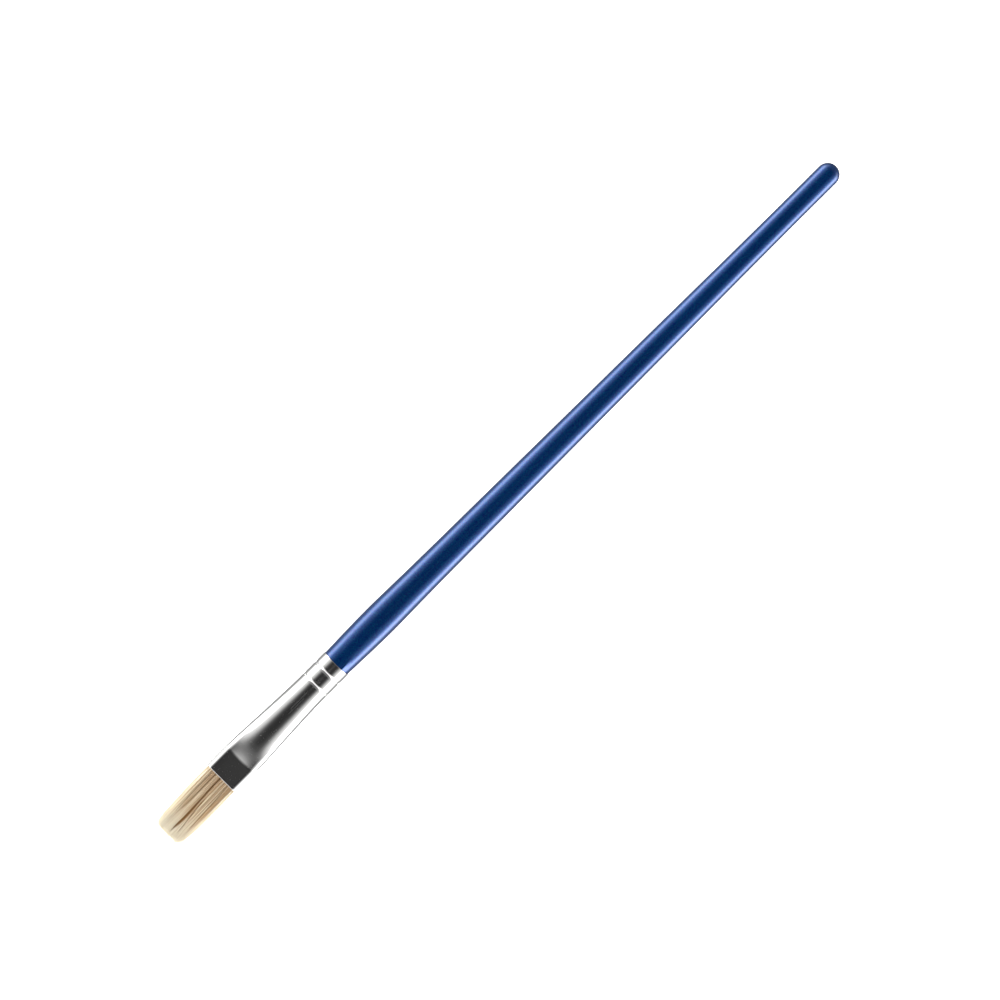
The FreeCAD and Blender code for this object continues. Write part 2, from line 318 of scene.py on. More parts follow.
def fold(x, side, length, rise, slant):
    """A fold in the coat: the side away from the top line stands higher by rise, and dies away again."""
    outward = from_top + side - slant * (grid_x - x)
    steepness, fading = 0.045, 0.9
    step = 1 / (1 + np.exp(-outward / steepness)) * np.exp(-((np.clip(outward, 0, None) / fading) ** 2))
    return -rise * step * np.exp(-(((grid_x - x) / length) ** 2))


# x behind the rim, side, length, rise, slant
folds = ((0.4, -2.35, 2.3, 0.20, 0.02), (2.6, -1.9, 1.5, 0.07, 0.10))
# x behind the rim, side, length, width, depth, slant
dents = (
    (104.9, -3.6, 0.5, 0.35, 0.05, 0.0),
    (61.0, 3.4, 0.45, 0.3, 0.03, 0.0),
    (4.9, 1.9, 0.9, 0.15, 0.04, 0.3),
)
grid_r = grid_r - sum(fold(*mark) for mark in folds) - sum(dent(*mark) for mark in dents)

handle_points = np.stack(
    [ferrule_length + grid_x, grid_r * np.cos(angle)[None, :], grid_r * np.sin(angle)[None, :]], -1
).reshape(-1, 3)
end_point = len(handle_points)
handle_points = np.vstack([handle_points, [ferrule_length + handle_length, 0, 0]])
handle_faces = tube_faces(len(ring_x), around)
last_ring = (len(ring_x) - 1) * around
handle_faces += [[last_ring + k, last_ring + (k + 1) % around, end_point] for k in range(around)]
lacquered_handle = new_piece("lacquered_handle", in_frame(handle_points), handle_faces)
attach(lacquered_handle, "handle")
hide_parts("handle_lacquer")

# %% [markdown]
# ## Blue lacquer
#
# The finish is a dark navy pigment coat under clear gloss. Looked at straight it is almost black-blue,
# and where it turns away it lights up in pale blue bands, because the pigment has a little pearl in it.
# So the base is mostly metallic and fairly rough, which gives the wide soft blue glow, and a clear smooth
# coat on top gives the crisp reflections. Dipped lacquer is never quite flat: noises in bump give it a
# faint orange peel, and a few specks of dust sit in it.

# %% Blue lacquer material
blue = Finish("blue lacquer")
drift = blue.noise(60.0, (0.35, 1, 1), detail=3.0)
deep = blue.mix(blue.remap(drift, 0.3, 0.7, 0.0, 1.0), (0.0, 0.008, 0.135, 1), (0.0, 0.013, 0.155, 1))
specks = blue.noise(2600.0, detail=0.0)
dust = blue.remap(specks, 0.80, 0.83, 0.0, 1.0)
peel = blue.noise(900.0, (0.6, 1, 1), detail=1.0)
sag = blue.noise(110.0, (0.25, 1, 1), detail=1.0)
soft_surface = blue.bump(sag, 0.00003, 0.6)
peel_surface = blue.bump(peel, 0.000004, 0.6, soft_surface)
clear_surface = blue.bump(dust, 0.00002, 0.5, peel_surface)
flake = blue.noise(5200.0, detail=0.0)
blue_lacquer = blue.use(
    base=blue.mix(blue.remap(flake, 0.35, 0.75, 0.0, 0.22), deep, (0.0, 0.34, 0.44, 1)),
    metal=0.68,
    rough=blue.remap(drift, 0.2, 0.8, 0.30, 0.36),
    normal=peel_surface,
    specular=0.0,
    coat=1.0,
    coat_rough=0.05,
    coat_normal=clear_surface,
)
dress(lacquered_handle, blue_lacquer)

# %% [markdown]
# ## The ferrule's form
#
# A ferrule starts as a round seamless tube. A press closes its front end to a flat mouth, and that
# changes the tube's shape but hardly its girth: where the width grows, the thickness must shrink. Each
# section is an oval of arcs that meet in tangent, a pair of round sides and a pair of broad faces. The
# corner angle says how much of the quarter turn the sides take: nearly all of it makes a flat section,
# and half of it a round one. Behind the flat stretch the tube opens quickly over the press's shoulder and
# then slowly towards its round rear, and one smooth curve through six corner angles carries it from one
# to the other.

# %% The ferrule's sections
mouth_half_width = 6.3
mouth_half_thickness = 2.1
flat_length = 8.0
round_length = 11.2
opening_onset, opening_length, opening_share = 1.0, 6.0, 0.55
flare_start, flare_full, flare_power = 9.0, 14.0, 1.25
flare_length = ferrule_length - round_length - (flare_start + flare_full) / 2
corner_places = np.array([flat_length, 10.5, 13.0, 16.0, 20.0, 25.0])
corner_angles = np.array([88.0, 79.5, 71.0, 59.0, 49.5, 45.0])
corner_slopes = smooth_curve(corner_places, corner_angles, -3.6, 0.0)


def share(x, start, length):
    """How much of a stretch lies behind x, from 0 at its start to 1 at its end."""
    return np.clip((x - start) / length, 0.0, 1.0)


def run_up(x, start, end):
    """A distance that starts from rest at start and has come up to full pace at end."""
    return np.clip(x - start, 0, end - start) ** 2 / (2 * (end - start)) + np.clip(x - end, 0, None)


def oval_weights(corner):
    """How much an oval's half width and half thickness each count in a quarter of its girth."""
    q = (math.pi / 2 - corner) * np.sin(corner) - corner * np.cos(corner)
    q = q / (np.sin(corner) + np.cos(corner) - 1)
    return corner + q, math.pi / 2 - corner - q


mouth_weights = oval_weights(math.radians(corner_angles[0]))
mouth_girth = mouth_weights[0] * mouth_half_width + mouth_weights[1] * mouth_half_thickness


def ferrule_section(x):
    """Half width, half thickness and corner angle of the ferrule's outside, x mm from its mouth."""
    flare = np.clip(run_up(x, flare_start, flare_full) / flare_length, 0, 1)
    half_width = tube_radius + (mouth_half_width - tube_radius) * (1 - flare) ** flare_power
    opened = np.clip(run_up(x, flat_length, flat_length + opening_onset) / opening_length, 0, 1)
    grown = opening_share * (1 - (1 - opened) ** 2) + (1 - opening_share) * flare
    girth = mouth_girth + (tube_radius * math.pi / 2 - mouth_girth) * grown
    corner = np.radians(curve_at(x, corner_places, corner_angles, corner_slopes))
    by_width, by_thickness = oval_weights(corner)
    return half_width, (girth - by_width * half_width) / by_thickness, corner


def oval_ring(half_width, half_thickness, corner, inset, count):
    """Points round an oval, evenly spaced, and drawn in by inset all round."""
    centres = (half_width - half_thickness) / (math.sin(corner) + math.cos(corner) - 1)
    side_centre, face_centre = centres * math.cos(corner), -centres * math.sin(corner)
    side_radius, face_radius = half_width - side_centre - inset, half_thickness - face_centre - inset
    side_run, face_run = side_radius * corner, face_radius * (math.pi / 2 - corner)
    run = np.linspace(0, side_run + face_run, count // 4 + 1)[:-1]
    facing = np.where(run < side_run, run / side_radius, corner + (run - side_run) / face_radius)
    on_side = facing < corner
    y = np.where(on_side, side_centre + side_radius * np.cos(facing), face_radius * np.cos(facing))
    z = np.where(on_side, side_radius * np.sin(facing), face_centre + face_radius * np.sin(facing))
    last = [[0.0, face_centre + face_radius]]
    quarter = np.vstack([np.stack([y, z], 1), last])
    second = (quarter * [-1, 1])[::-1][1:]
    third = (quarter * [-1, -1])[1:]
    fourth = (quarter * [1, -1])[::-1][1:-1]
    return np.vstack([quarter, second, third, fourth])


print("half thickness at 12 mm", round(float(ferrule_section(12.0)[1]), 3))

# %% [markdown]
# ## Crimped rings, rolled lip and hand-made marks
#
# Two rings rolled into the rear of the ferrule lock it to the wood. Their rollers leave a sharp valley
# with slightly raised shoulders and a faint knurl. The mouth and the rim are cut edges that were broken
# with a tool, so each has a tiny round. The whole ferrule is one closed shell: outside, rolled lip, and
# inside as far as one can look in. The press did not hit it quite squarely, so the mouth leans to one
# side by a fifth of a millimetre.

# %% Build the ferrule
ring_places = (0.375 * round_length, 0.84 * round_length)
ring_depth, ring_half_width = 0.32, 0.40
raised, raised_away, raised_half_width = 0.02, 0.95, 0.28
knurl_teeth, knurl_depth = 52, 0.012
mouth_round, mouth_round_length = 0.16, 0.26
rim_round, rim_round_length = 0.10, 0.16
inner_round = 0.06
mouth_lean = 0.2
ferrule_around = 256


def ring_dip(x):
    """How far the crimped rings press the surface in at x, with small raised shoulders."""
    dip = np.zeros_like(x)
    for place in ring_places:
        away = np.abs(x - (ferrule_length - place))
        dip += ring_depth * np.exp(-((away / ring_half_width) ** 2))
        dip -= raised * np.exp(-(((away - raised_away) / raised_half_width) ** 2))
    return dip


def ferrule_ring(x, inset):
    """The points of one ring of the ferrule, x mm behind the mouth."""
    ring = oval_ring(*[float(v) for v in ferrule_section(x)], inset, ferrule_around)
    return np.hstack([np.full((len(ring), 1), x), ring])


rings_start = ferrule_length - round_length - 0.2
ferrule_x = np.concatenate(
    [
        np.array([0.0, 0.03, 0.08, 0.14, 0.20, 0.26, 0.36]),
        np.arange(0.5, 7.0, 0.5),
        np.arange(7.0, 13.0, 0.1),
        np.arange(13.0, rings_start, 0.5),
        np.arange(rings_start, ferrule_length - 0.2, 0.08),
        ferrule_length - np.array([0.18, 0.1, 0.04, 0.0]),
    ]
)
lip_inset = mouth_round * (1 - share(ferrule_x, 0.0, mouth_round_length)) ** 2
lip_inset += rim_round * share(ferrule_x, ferrule_length - rim_round_length, rim_round_length) ** 2
knurl = np.sin(np.arange(ferrule_around) * 2 * math.pi * knurl_teeth / ferrule_around)[:, None]
shell = []
for x, lip, dip in zip(ferrule_x, lip_inset, ring_dip(ferrule_x)):
    ring = ferrule_ring(x, lip + dip)
    ring[:, 1:] *= 1 + knurl_depth * max(dip, 0.0) * knurl
    shell.append(ring)
shell += [ferrule_ring(x, ferrule_wall) for x in (ferrule_length, ferrule_length - 0.6)]
shell += [ferrule_ring(x, ferrule_wall) for x in (9.0, 8.0, 6.0, 3.0, 0.5, 0.1)]
shell.append(ferrule_ring(0.0, ferrule_wall - inner_round))

ferrule_points = np.vstack(shell)
ferrule_points[:, 1] -= mouth_lean * (1 - ferrule_points[:, 0] / ferrule_length)
whole = len(ferrule_points)
ferrule_faces = [[v % whole for v in face] for face in tube_faces(len(shell) + 1, ferrule_around)]
bright_ferrule = new_piece("bright_ferrule", in_frame(ferrule_points), ferrule_faces)
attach(bright_ferrule, "handle")
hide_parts("ferrule")

# %% [markdown]
# ## Polished aluminium
#
# The tube is drawn and then buffed, so it mirrors the room, a little softly. Fine lines run round it from
# buffing and along it from drawing. They are far finer than a hair, so they are bump and roughness, not
# geometry. Use leaves dull specks and a few longer scratches, here two along the top, a little in front
# of the crimped rings, and one at the mouth. Each of these is a mask that makes the metal rougher where
# it is 1.

# %% Ferrule material
metal = Finish("polished ferrule")
buffing = metal.noise(1500.0, (6.0, 0.6, 0.6), detail=2.0)
drawing = metal.noise(2600.0, (0.03, 1.0, 1.0), detail=2.0)
cloud = metal.noise(300.0, detail=4.0, roughness=0.6)
pits = metal.remap(metal.noise(2400.0, detail=1.0), 0.70, 0.76, 0.0, 1.0)
lines = metal.bump(drawing, 0.000002, 0.5)
buffed = metal.bump(buffing, 0.0000015, 0.5, lines)
along, across_top = metal.node("ShaderNodeSeparateXYZ", {0: metal.place}).outputs[:2]


def scratch_at(start, end, y, half_width):
    """1 on a thin line along the tube, in mm from the mouth, and 0 away from it."""
    wander = metal.math("MULTIPLY", metal.noise(120.0, detail=0.0), 0.4 * MM)
    beside = metal.math("SUBTRACT", metal.math("ADD", across_top, wander), (y + 0.2) * MM)
    line = metal.remap(metal.math("ABSOLUTE", beside), 0.0, half_width * MM, 1.0, 0.0)
    begin = metal.remap(along, (mouth_x + start) * MM, (mouth_x + start + 1.5) * MM, 0.0, 1.0)
    finish = metal.remap(along, (mouth_x + end - 0.8) * MM, (mouth_x + end) * MM, 1.0, 0.0)
    return metal.math("MULTIPLY", line, metal.math("MULTIPLY", begin, finish))


scratch = metal.math("MAXIMUM", scratch_at(30.5, 39.5, -0.05, 0.10), scratch_at(29.0, 37.5, -0.75, 0.08))
scratch = metal.math("MAXIMUM", scratch, scratch_at(0.5, 2.4, 2.6, 0.10))
wear = metal.math("MAXIMUM", scratch, pits)
tone = metal.mix(metal.remap(cloud, 0.3, 0.7, 0, 1), (0.90, 0.895, 0.885, 1), (0.95, 0.945, 0.935, 1))
polished_ferrule = metal.use(
    base=metal.mix(pits, tone, (0.55, 0.54, 0.52, 1)),
    metal=1.0,
    rough=metal.math("ADD", metal.remap(cloud, 0.3, 0.75, 0.06, 0.12), metal.math("MULTIPLY", wear, 0.32)),
    normal=metal.bump(scratch, 0.000006, 0.4, buffed),
)
dress(bright_ferrule, polished_ferrule)

# %% [markdown]
# ## Bristles, one by one
#
# A hog bristle is a stiff hair, about a fifth of a millimetre thick at its root. It thins towards its
# tip, where it splits into two or three finer ends that painters call flags. A flat brush holds several
# hundred of them. They are laid in layers at the mouth and come together towards the tip, like a chisel,
# and they clump into locks with dark partings between. Real hairs make all of that by themselves, so this
# lesson builds real hairs: thin tubes along bent lines, in the same four locks as the CAD model. Every
# random number comes from one seeded generator, so each run grows the same tuft.

# %% Where each bristle grows
chance = np.random.default_rng(7)
margin = 0.12
root_half_width = mouth_half_width - ferrule_wall - margin
root_half_thickness = mouth_half_thickness - ferrule_wall - margin
tip_half_width = 5.3
tip_half_thickness = 0.85
mouth_shift, tip_shift = 0.17, 0.45
pitch = 0.232
row_step = pitch * 0.866


def bristle_roots():
    """Places across the mouth, in a loose honeycomb with a little disorder."""
    places = []
    rows = int(2 * root_half_thickness / row_step) + 1
    for row in range(rows):
        z = -root_half_thickness + row_step * row + 0.02
        offset = pitch / 2 * (row % 2)
        for y in np.arange(-root_half_width + offset, root_half_width, pitch):
            places.append([y, z])
    places = np.array(places) + chance.normal(0, 0.045, (len(places), 2))
    corner = root_half_thickness
    past = np.clip(np.abs(places[:, 0]) - (root_half_width - corner), 0, None)
    inside = (past**2 + places[:, 1] ** 2 < corner**2) & (np.abs(places[:, 0]) < root_half_width)
    return places[inside]


roots = bristle_roots()
print("bristles:", len(roots))

# %% [markdown]
# ## Locks and partings
#
# Each parting runs from one place across the mouth to another across the tip. Three of them separate the
# four locks of the CAD model. The hairs of a lock keep their order, but at the tip they are squeezed
# between their lock's own two partings, and hairs that end near each other draw together into small
# points. Two sets of random values across the width then give streaks: some narrow groups of hairs are
# paler, and some lie higher.

# %% Share the bristles among the locks
partings_at_mouth = np.array([3.45, 0.12, -1.85])
partings_at_tip = np.array([2.70, -0.62, -2.80])
parting_gap = np.array([0.12, 0.16, 0.14])
tip_side, tip_other_side = tip_half_width - tip_shift, -tip_half_width - tip_shift
edges_at_mouth = np.concatenate([[root_half_width], partings_at_mouth, [-root_half_width]])
edges_at_tip_upper = np.concatenate([[tip_side], partings_at_tip - parting_gap / 2])
edges_at_tip_lower = np.concatenate([partings_at_tip + parting_gap / 2, [tip_other_side]])

lock_of = np.searchsorted(-partings_at_mouth, -roots[:, 0])
lock_top, lock_bottom = edges_at_mouth[lock_of], edges_at_mouth[lock_of + 1]
share_across = (lock_top - roots[:, 0]) / (lock_top - lock_bottom)
tip_top, tip_bottom = edges_at_tip_upper[lock_of], edges_at_tip_lower[lock_of]
tip_y = tip_top + (tip_bottom - tip_top) * share_across
point_pitch = 0.55
point_centres = np.round(tip_y / point_pitch + 0.25 * np.sin(roots[:, 1] * 3.0)) * point_pitch
tip_y = tip_y + 0.36 * (point_centres - tip_y) + chance.normal(0, 0.05, len(roots))
layer = roots[:, 1] / root_half_thickness

streak_places = np.arange(-7.0, 7.0, 0.26)
streak_tone = chance.normal(0, 0.42, len(streak_places))
streak_rise = chance.normal(0, 0.09, len(streak_places))
across = roots[:, 0] + 0.3 * roots[:, 1]
own_tone = np.interp(across, streak_places, streak_tone)
own_rise = np.interp(across, streak_places, streak_rise)
print("in each lock:", [int((lock_of == k).sum()) for k in range(4)])

# %% [markdown]
# ## Shape of one bristle
#
# Each hair leaves the ferrule straight, swells out a little with its neighbours and then leans in to the
# tip, so the tuft is fullest a third of the way out. A slow wave and a slight lean keep any two from
# being the same, and one hair in twenty strays from the crowd. The outer corners of the tip are rounded.
# Along seven bent lines the hairs sink below their neighbours: three of these lines follow the partings
# between the locks, and the other four open inside a lock.

# %% Lines of the bristles
step_places = [-1.6, 0.0, 1.2, 3.0, 5.0, 7.5, 10.0, 12.5, 15.0, 17.0, 19.0, 21.0, 22.8, 24.2]
steps = np.array(step_places) / hair_length
full_turn = 6.283
count = len(roots)
corner_width, corner_length = 1.9, 3.0
to_side = tip_half_width - np.abs(tip_y + tip_shift)
into_corner = np.clip((corner_width - to_side) / corner_width, 0.0, 1.0)
tip_crown = 0.25 * (tip_y / tip_half_width) ** 2 + corner_length * (1 - np.sqrt(1 - into_corner**2))
shorter = np.abs(chance.normal(0, 0.50, count)) + 0.4 * np.abs(layer) ** 2
hair_end = np.clip(hair_length + 0.75 - tip_crown - shorter, 17.0, None)
stray = chance.random(count) < 0.05
lean = chance.normal(0, 0.10, (count, 2)) + stray[:, None] * chance.normal(0, 0.40, (count, 2))
wave = chance.normal(0, 0.055, (count, 2))
phase = chance.random((count, 2)) * full_turn
turns = chance.uniform(0.8, 1.7, (count, 2))

deep_partings = (
    # y at the mouth, a third, two thirds and all of the way out; depth; half width; where it starts and ends
    ((3.50, 3.20, 2.85, 2.60), 0.45, 0.15, -0.2, 0.80),
    ((2.04, 1.90, 2.10, 2.50), 0.50, 0.17, -0.2, 0.75),
    ((0.08, -0.25, -0.64, -0.55), 0.80, 0.26, -0.2, 0.97),
    ((-0.60, -0.42, -0.72, -0.70), 0.75, 0.46, 0.42, 0.92),
    ((-0.80, -1.14, -1.95, -2.75), 0.60, 0.19, 0.25, 0.95),
    ((-1.85, -2.05, -2.40, -2.90), 0.35, 0.13, -0.2, 0.60),
    ((-3.30, -3.85, -4.40, -4.75), 0.45, 0.17, -0.2, 0.88),
)


def parting_depth(y, t):
    """How far the hairs near a parting sink below the others, as a part of their height."""
    sink = np.zeros_like(y)
    for places, depth, half_width, start, end in deep_partings:
        line = np.interp(t, (0, 0.33, 0.67, 1), places) + 0.07 * np.sin(9.0 * t + 3.0 * places[0])
        there = np.clip((t - start) / 0.15, 0, 1) * np.clip((end - t) / 0.18, 0, 1)
        sink += depth * np.exp(-(((y - line) / half_width) ** 2)) * there
    return np.clip(sink, 0, 0.85)


def bristle_lines():
    """Points along every bristle, in mm, by bristle, step and x y z; and how sunken each point is."""
    t = np.clip(steps, 0, 1)[None, :]
    out = steps[None, :] * hair_end[:, None]
    gather = t**1.35
    y = (roots[:, :1] - mouth_shift) * (1 - gather) + tip_y[:, None] * gather
    swell = 1 + 0.10 * np.sin(np.clip(t / 0.62, 0, 1) * math.pi)
    thin = 1 - (1 - tip_half_thickness / root_half_thickness) * t**2.1
    z = roots[:, 1:] * swell * thin * (1 + own_rise[:, None] * np.clip(t / 0.3, 0, 1))
    loose = np.clip(t - 0.1, 0, None)
    y = y + loose * lean[:, :1]
    y = y + wave[:, :1] * loose * np.sin(turns[:, :1] * full_turn * t + phase[:, :1])
    z = z + loose * 0.7 * lean[:, 1:]
    z = z + wave[:, 1:] * loose * np.sin(turns[:, 1:] * full_turn * t + phase[:, 1:])
    y = np.clip(y, -6.2, 6.1)
    sunk = parting_depth(y, t)
    return np.stack([-out, y, z * (1 - sunk)], -1), sunk


lines, sunk = bristle_lines()
print("longest bristle", round(float(-lines[..., 0].min()), 2), "mm out")

# %% [markdown]
# ## From lines to tubes
#
# A ring of five points is set square to the line at every step, and its size follows the hair's taper. At
# the last few steps each hair also gets two flags: finer tubes that part from it. The outermost hairs get
# a few fine hairs beside them, which soften the outline and are painted pale as painted light. All the
# hairs of one lock go into one mesh, with three values stored at each point: the hair's tone, which also
# carries painted light on the outermost hairs, how far out along the hair it is, and how far it has sunk
# into a parting.

# %% Tubes for the bristles
sides = 5
ring_angle = np.linspace(0, 2 * math.pi, sides, endpoint=False)
root_radius = np.clip(chance.normal(0.098, 0.012, count), 0.07, 0.13)


def tubes(paths, radii):
    """Rings of points round many paths at once; the paths all have the same number of steps."""
    along = np.gradient(paths, axis=1)
    along /= np.linalg.norm(along, axis=2, keepdims=True)
    side = np.cross(along, [0.0, 0.0, 1.0])
    side /= np.linalg.norm(side, axis=2, keepdims=True)
    up = np.cross(side, along)
    circle = np.cos(ring_angle)[:, None] * side[:, :, None, :]
    circle = circle + np.sin(ring_angle)[:, None] * up[:, :, None, :]
    return paths[:, :, None, :] + circle * radii[:, :, None, None]


def capped_faces(hairs, rings):
    """Faces for many tubes, each closed at both ends."""
    faces = []
    per_hair = rings * sides
    for hair in range(hairs):
        faces += tube_faces(rings, sides, hair * per_hair)
        start = hair * per_hair
        faces.append([start + k for k in range(sides)][::-1])
        faces.append([start + per_hair - sides + k for k in range(sides)])
    return faces


taper = np.interp(steps, [-0.1, 0.5, 0.85, 1.0], [1.0, 0.9, 0.68, 0.38])
flag_taper = np.array([[0.034, 0.034, 0.026, 0.014]])
wisp_taper = np.interp(steps, [0, 1], [0.045, 0.018])
at_edge = np.clip((np.abs(roots[:, 0]) - 4.7) / 0.8, 0, 1)
# Hairs near the outer edges get a painted lighter tone, for light that shines through the thin outermost
# hairs.
shade = np.clip(chance.normal(0.55, 0.2, count) + own_tone * (1 - at_edge) + 0.5 * at_edge, 0, 1)


def flags_of(chosen):
    """Two fine split ends for each chosen bristle."""
    start = lines[chosen][:, -4:, :]
    ends = []
    for turn in (0, 1):
        way = chance.normal(0, 0.16, (len(chosen), 1, 2))
        spread = np.linspace(0, 1, 4)[None, :, None] ** 1.3
        path = start.copy()
        path[..., 1:] += way * spread
        path[..., 0] -= spread[..., 0] * chance.uniform(-0.3, 0.8, (len(chosen), 1))
        ends.append(path)
    return np.concatenate(ends)


def wisps_of(chosen, copies=5):
    """Fine pale hairs that stand away from the outermost bristles and soften the outline."""
    outer = np.repeat(chosen[at_edge[chosen] > 0.25], copies)
    away = np.sign(roots[outer, 0]) * np.abs(chance.normal(0.05, 0.28, len(outer)))
    lift = chance.normal(0, 0.25, len(outer))
    t = np.clip(steps, 0, 1)[None, :] ** 0.7
    paths = lines[outer].copy()
    paths[..., 1] += away[:, None] * t
    paths[..., 2] += lift[:, None] * t
    paths[..., 0] *= chance.uniform(0.7, 1.0, (len(outer), 1))
    return paths


def lock_piece(number):
    """One lock of the tuft as one mesh, with the stored values that its colour needs."""
    chosen = np.where(lock_of == number)[0]
    hair_points = tubes(lines[chosen], root_radius[chosen, None] * taper[None, :])
    flag_paths = flags_of(chosen)
    flag_points = tubes(flag_paths, np.repeat(flag_taper, len(flag_paths), 0))
    wisp_paths = wisps_of(chosen)
    wisp_points = tubes(wisp_paths, np.broadcast_to(wisp_taper, wisp_paths.shape[:2]))
    points = np.vstack([part.reshape(-1, 3) for part in (hair_points, flag_points, wisp_points)])
    points[:, 0] = np.maximum(points[:, 0], -0.5 - hair_length)
    faces = capped_faces(len(chosen), len(steps))
    offset = hair_points.size // 3
    faces += [[v + offset for v in face] for face in capped_faces(len(flag_paths), 4)]
    offset += flag_points.size // 3
    faces += [[v + offset for v in face] for face in capped_faces(len(wisp_paths), len(steps))]
    piece = new_piece(f"bristles_{number + 1}", in_frame(points), faces)
    out_along = np.broadcast_to(np.clip(steps, 0, 1), (len(chosen), len(steps)))
    tones_with_edge_light = np.broadcast_to(shade[chosen, None], out_along.shape)
    hair_look = np.stack([tones_with_edge_light, out_along, sunk[chosen]], -1)
    flag_look = np.tile(hair_look[:, -4:], (2, 1, 1))
    # The fine edge hairs get the top tone and the tips' painted light, so they are painted pale.
    wisp_look = np.broadcast_to([1.0, 0.9, 0.0], wisp_paths.shape)
    looks = [np.repeat(part.reshape(-1, 3), sides, 0) for part in (hair_look, flag_look, wisp_look)]
    values = np.hstack([np.vstack(looks), np.ones((len(points), 1))])
    look = piece.data.color_attributes.new("hair look", "FLOAT_COLOR", "POINT")
    look.data.foreach_set("color", values.ravel())
    print(piece.name, "hairs:", len(chosen), "flags:", len(flag_paths), "fine edge hairs:", len(wisp_paths))
    return piece


bristle_pieces = [lock_piece(number) for number in range(4)]

# %% [markdown]
# ## The locks in place
#
# The CAD model gives the tuft one spring hinge just outside the ferrule. Real hairs bend over their whole
# length, but these locks are not joined to any body: each lock's placement is baked into its points, and
# the CAD model's lock it replaces is hidden.

# %% Bake the locks in place
for number, piece in enumerate(bristle_pieces, start=1):
    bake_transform(piece)
    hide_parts(f"bristle_lock_{number}")

# %% [markdown]
# ## Bristle colour
#
# Bleached hog hair is cream, but no two hairs agree: some are straw, some brown. The outer ends and the
# flags are painted almost white, a painted stand-in for light that gets through them, and the outermost
# hairs are painted lighter for the same light. Near the mouth, where the hairs are packed closely, the
# colour turns dark brown as painted shade, and deep in a parting the hairs get a painted dark brown shade.
# The three stored values drive this, and a long thin noise adds streaks along the hairs. A little sheen
# stands for the light that passes through the fine hair.

# %% Bristle material
hog = Finish("hog bristle")
stored = hog.node("ShaderNodeVertexColor", layer_name="hair look").outputs["Color"]
split = hog.node("ShaderNodeSeparateColor", {0: stored})
tone_with_edge_light, along_hair, in_parting = split.outputs[0], split.outputs[1], split.outputs[2]
streak = hog.noise(1400.0, (0.12, 1, 1), detail=2.0)
shade_mixed = hog.math("ADD", hog.math("MULTIPLY", tone_with_edge_light, 0.6), hog.math("MULTIPLY", streak, 0.5))
straw = hog.mix(hog.remap(shade_mixed, 0.25, 0.85, 0, 1), (0.54, 0.32, 0.14, 1), (0.98, 0.86, 0.62, 1))
# Painted shade near the mouth, where the packed hairs shade each other: the base turns dark brown towards
# the root, less so on the lighter edge hairs.
root_shadow = hog.remap(along_hair, 0.0, 0.7, 0.72, 0)
root_shade_share = hog.math("MULTIPLY", root_shadow, hog.remap(tone_with_edge_light, 0.8, 1.0, 1, 0.25))
root_shaded = hog.mix(root_shade_share, straw, (0.36, 0.22, 0.11, 1))
# Painted light: towards their ends, and on the flags, the hairs turn almost white, for the light that gets
# through the thin hair.
pale = hog.mix(hog.remap(along_hair, 0.55, 0.98, 0, 0.9), root_shaded, (0.99, 0.93, 0.76, 1))
# Painted shade: hairs sunk deep in a parting turn dark brown, for the light that cannot reach between the
# locks.
parting_shadowed = hog.mix(hog.remap(in_parting, 0.12, 0.62, 0, 1), pale, (0.36, 0.185, 0.055, 1))
scales = hog.noise(6000.0, (0.5, 1, 1), detail=1.0)
hog_bristle = hog.use(
    base=parting_shadowed,
    rough=hog.remap(streak, 0.3, 0.7, 0.42, 0.58),
    normal=hog.bump(scales, 0.000006, 0.4),
    sheen=0.25,
    specular=0.45,
)
for piece in bristle_pieces:
    dress(piece, hog_bristle)

# %% [markdown]
# ## Pieces that hide inside
#
# The wood, the glue, the resin and the gripped ends of the bristles stay as the CAD model has them.
# Nobody sees them in a finished brush, but someone may open the model up, so each gets its own finish.

# %% Bare wood
wood = Finish("turned wood")
grain = wood.noise(500.0, (0.04, 1, 1), detail=4.0, roughness=0.6)
pores = wood.remap(wood.noise(2200.0, (0.03, 1, 1), detail=1.0), 0.62, 0.75, 0, 1)
wood_tone = wood.mix(wood.remap(grain, 0.3, 0.7, 0, 1), (0.55, 0.36, 0.20, 1), (0.78, 0.60, 0.40, 1))
turned_wood = wood.use(
    base=wood.mix(pores, wood_tone, (0.34, 0.20, 0.10, 1)),
    rough=wood.remap(grain, 0.3, 0.7, 0.5, 0.65),
    normal=wood.bump(grain, 0.00004, 0.5),
)
dress(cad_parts["handle_core"], turned_wood)

# %% [markdown]
# ## Glue, resin and packed roots
#
# Cured glue and epoxy are amber and a little cloudy, and the gripped bristles are soaked in the same
# resin. One helper makes all three, from two tones of one colour and a faint unevenness.

# %% Glue, resin and root finishes
def clouded(name, dark, light, rough):
    """A cured liquid: two tones that drift into each other, and a slightly uneven surface."""
    finish = Finish(name)
    cloud = finish.noise(700.0, detail=3.0)
    return finish.use(
        base=finish.mix(finish.remap(cloud, 0.3, 0.7, 0, 1), dark, light),
        rough=finish.remap(cloud, 0.3, 0.7, rough, rough + 0.15),
        normal=finish.bump(cloud, 0.00002, 0.4),
    )


cured_glue = clouded("cured glue", (0.55, 0.45, 0.24, 1), (0.72, 0.62, 0.38, 1), 0.25)
amber_resin = clouded("amber resin", (0.32, 0.19, 0.06, 1), (0.52, 0.34, 0.13, 1), 0.15)
packed_roots = clouded("packed roots", (0.30, 0.19, 0.09, 1), (0.62, 0.47, 0.30, 1), 0.55)
dress(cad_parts["handle_glue"], cured_glue)
dress(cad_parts["resin_plug"], amber_resin)
dress(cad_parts["bristle_roots"], packed_roots)

# %% [markdown]
# ## The studio
#
# The brush lies on a pale table that glows enough to lose the brush's shadow. The table is hidden from
# reflections, so that the underside of the metal mirrors the light tent and not the table.

